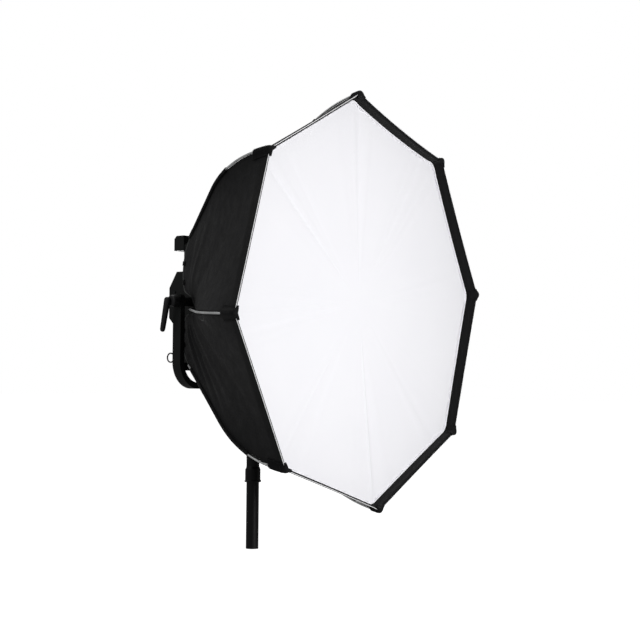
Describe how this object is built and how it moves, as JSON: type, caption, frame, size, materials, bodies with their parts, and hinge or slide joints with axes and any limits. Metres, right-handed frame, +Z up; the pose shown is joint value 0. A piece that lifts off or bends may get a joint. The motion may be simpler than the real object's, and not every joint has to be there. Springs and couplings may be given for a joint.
{
  "type": "studio softbox",
  "caption": "Octagonal rod-framed softbox with a recessed white diffuser on an LED panel lamp, in a U-shaped tilting yoke on the top of a light stand.",
  "frame": {"origin": "centre of the riser tube's open lower end, on the stand's axis", "axes": "+Z up along the stand, -Y out of the softbox's front, +X to the right as seen from the front; the tilt axis runs along X above the origin"},
  "size_m": [1.218, 0.5646, 1.3478],
  "materials": {
    "black_nylon": "matte ripstop nylon, light-proof coating inside",
    "hook_band": "fuzzy loop tape",
    "white_diffusion": "translucent white diffusion cloth",
    "spring_steel": "satin spring steel",
    "frame_steel": "black powder coat",
    "black_aluminium": "fine-textured black powder coat",
    "stand_black": "satin black anodised",
    "bright_steel": "zinc-plated steel",
    "black_plastic": "fine-grained moulded plastic",
    "friction_fibre": "pressed fibre",
    "lens_plastic": "opal polycarbonate",
    "board_white": "white solder mask with yellow emitters",
    "display_glass": "dark cover glass"
  },
  "bodies": {
    "stand": {"riser_tube": "stand_black", "receiver": "stand_black"},
    "yoke": {"yoke": "black_aluminium", "friction_washers": "friction_fibre", "tilt_bolt_right": "bright_steel", "safety_eye": "bright_steel", "spigot": "bright_steel", "spigot_bolt": "bright_steel"},
    "head": {"adapter_frame": "frame_steel", "control_panel": "black_plastic", "cover_screws": "bright_steel", "data_sockets": "black_plastic", "display_window": "display_glass", "fan_frames": "black_plastic", "frame_clips": "black_aluminium", "front_bezel": "black_aluminium", "front_diffuser": "white_diffusion", "heat_sink": "black_aluminium", "inner_baffle": "white_diffusion", "led_board": "board_white", "lens_sheet": "lens_plastic", "lip_band": "hook_band", "lower_handle": "black_aluminium", "main_housing": "black_aluminium", "power_inlet": "black_plastic", "power_supply": "black_plastic", "rear_cover": "black_aluminium", "rear_hem": "black_nylon", "rod_1": "spring_steel", "rod_2": "spring_steel", "rod_3": "spring_steel", "rod_4": "spring_steel", "rod_5": "spring_steel", "rod_6": "spring_steel", "rod_7": "spring_steel", "rod_8": "spring_steel", "rod_sockets": "frame_steel", "shell_panel_1": "black_nylon", "shell_panel_2": "black_nylon", "shell_panel_3": "black_nylon", "shell_panel_4": "black_nylon", "shell_panel_5": "black_nylon", "shell_panel_6": "black_nylon", "shell_panel_7": "black_nylon", "shell_panel_8": "black_nylon", "side_bracket_left": "black_aluminium", "side_bracket_right": "black_aluminium", "tip_pockets": "black_nylon", "upper_handle": "black_aluminium"},
    "lock_knob": {"receiver_knob": "black_plastic"},
    "tilt_clamp": {"tilt_lever": "black_plastic", "tilt_bolt_left": "bright_steel"},
    "fan_left": {"fan_rotor_left": "black_plastic"},
    "fan_right": {"fan_rotor_right": "black_plastic"},
    "dimmer": {"dimmer_knob": "black_plastic"},
    "colour": {"colour_knob": "black_plastic"},
    "key_1": {"button_1": "black_plastic"},
    "key_2": {"button_2": "black_plastic"},
    "rocker": {"power_switch": "black_plastic"},
    "latch": {"frame_latch": "black_plastic"}
  },
  "joints": [
    {"name": "yoke_pan", "type": "hinge", "parent": "stand", "child": "yoke", "pos_m": [0, 0, 0.35], "axis": [0, 0, 1], "continuous": true},
    {"name": "head_tilt", "type": "hinge", "parent": "yoke", "child": "head", "pos_m": [0, 0, 0.739], "axis": [-1, 0, 0], "range_deg": [-3, 90]},
    {"name": "tilt_clamp_turn", "type": "hinge", "parent": "yoke", "child": "tilt_clamp", "pos_m": [-0.355, 0, 0.739], "axis": [1, 0, 0], "range_deg": [-60, 45]},
    {"name": "lock_knob_turn", "type": "hinge", "parent": "stand", "child": "lock_knob", "pos_m": [0.03, 0, 0.315], "axis": [1, 0, 0], "range_deg": [-360, 0]},
    {"name": "fan_left_spin", "type": "hinge", "parent": "head", "child": "fan_left", "pos_m": [-0.095, 0.09, 0.817], "axis": [0, 1, 0], "continuous": true},
    {"name": "fan_right_spin", "type": "hinge", "parent": "head", "child": "fan_right", "pos_m": [0.095, 0.09, 0.817], "axis": [0, 1, 0], "continuous": true},
    {"name": "dimmer_turn", "type": "hinge", "parent": "head", "child": "dimmer", "pos_m": [0.062, 0.117, 0.657], "axis": [0, 1, 0], "continuous": true},
    {"name": "colour_turn", "type": "hinge", "parent": "head", "child": "colour", "pos_m": [0.1, 0.117, 0.657], "axis": [0, 1, 0], "continuous": true},
    {"name": "key_1_press", "type": "slide", "parent": "head", "child": "key_1", "axis": [0, -1, 0], "range_m": [0, 0.0015], "stiffness_N_per_m": 300},
    {"name": "key_2_press", "type": "slide", "parent": "head", "child": "key_2", "axis": [0, -1, 0], "range_m": [0, 0.0015], "stiffness_N_per_m": 300},
    {"name": "rocker_tip", "type": "hinge", "parent": "head", "child": "rocker", "pos_m": [-0.15, 0.1078, 0.663], "axis": [1, 0, 0], "range_deg": [-12, 0]},
    {"name": "latch_swing", "type": "hinge", "parent": "head", "child": "latch", "pos_m": [0.12, -0.051, 0.917], "axis": [-1, 0, 0], "range_deg": [0, 90]}
  ]
}
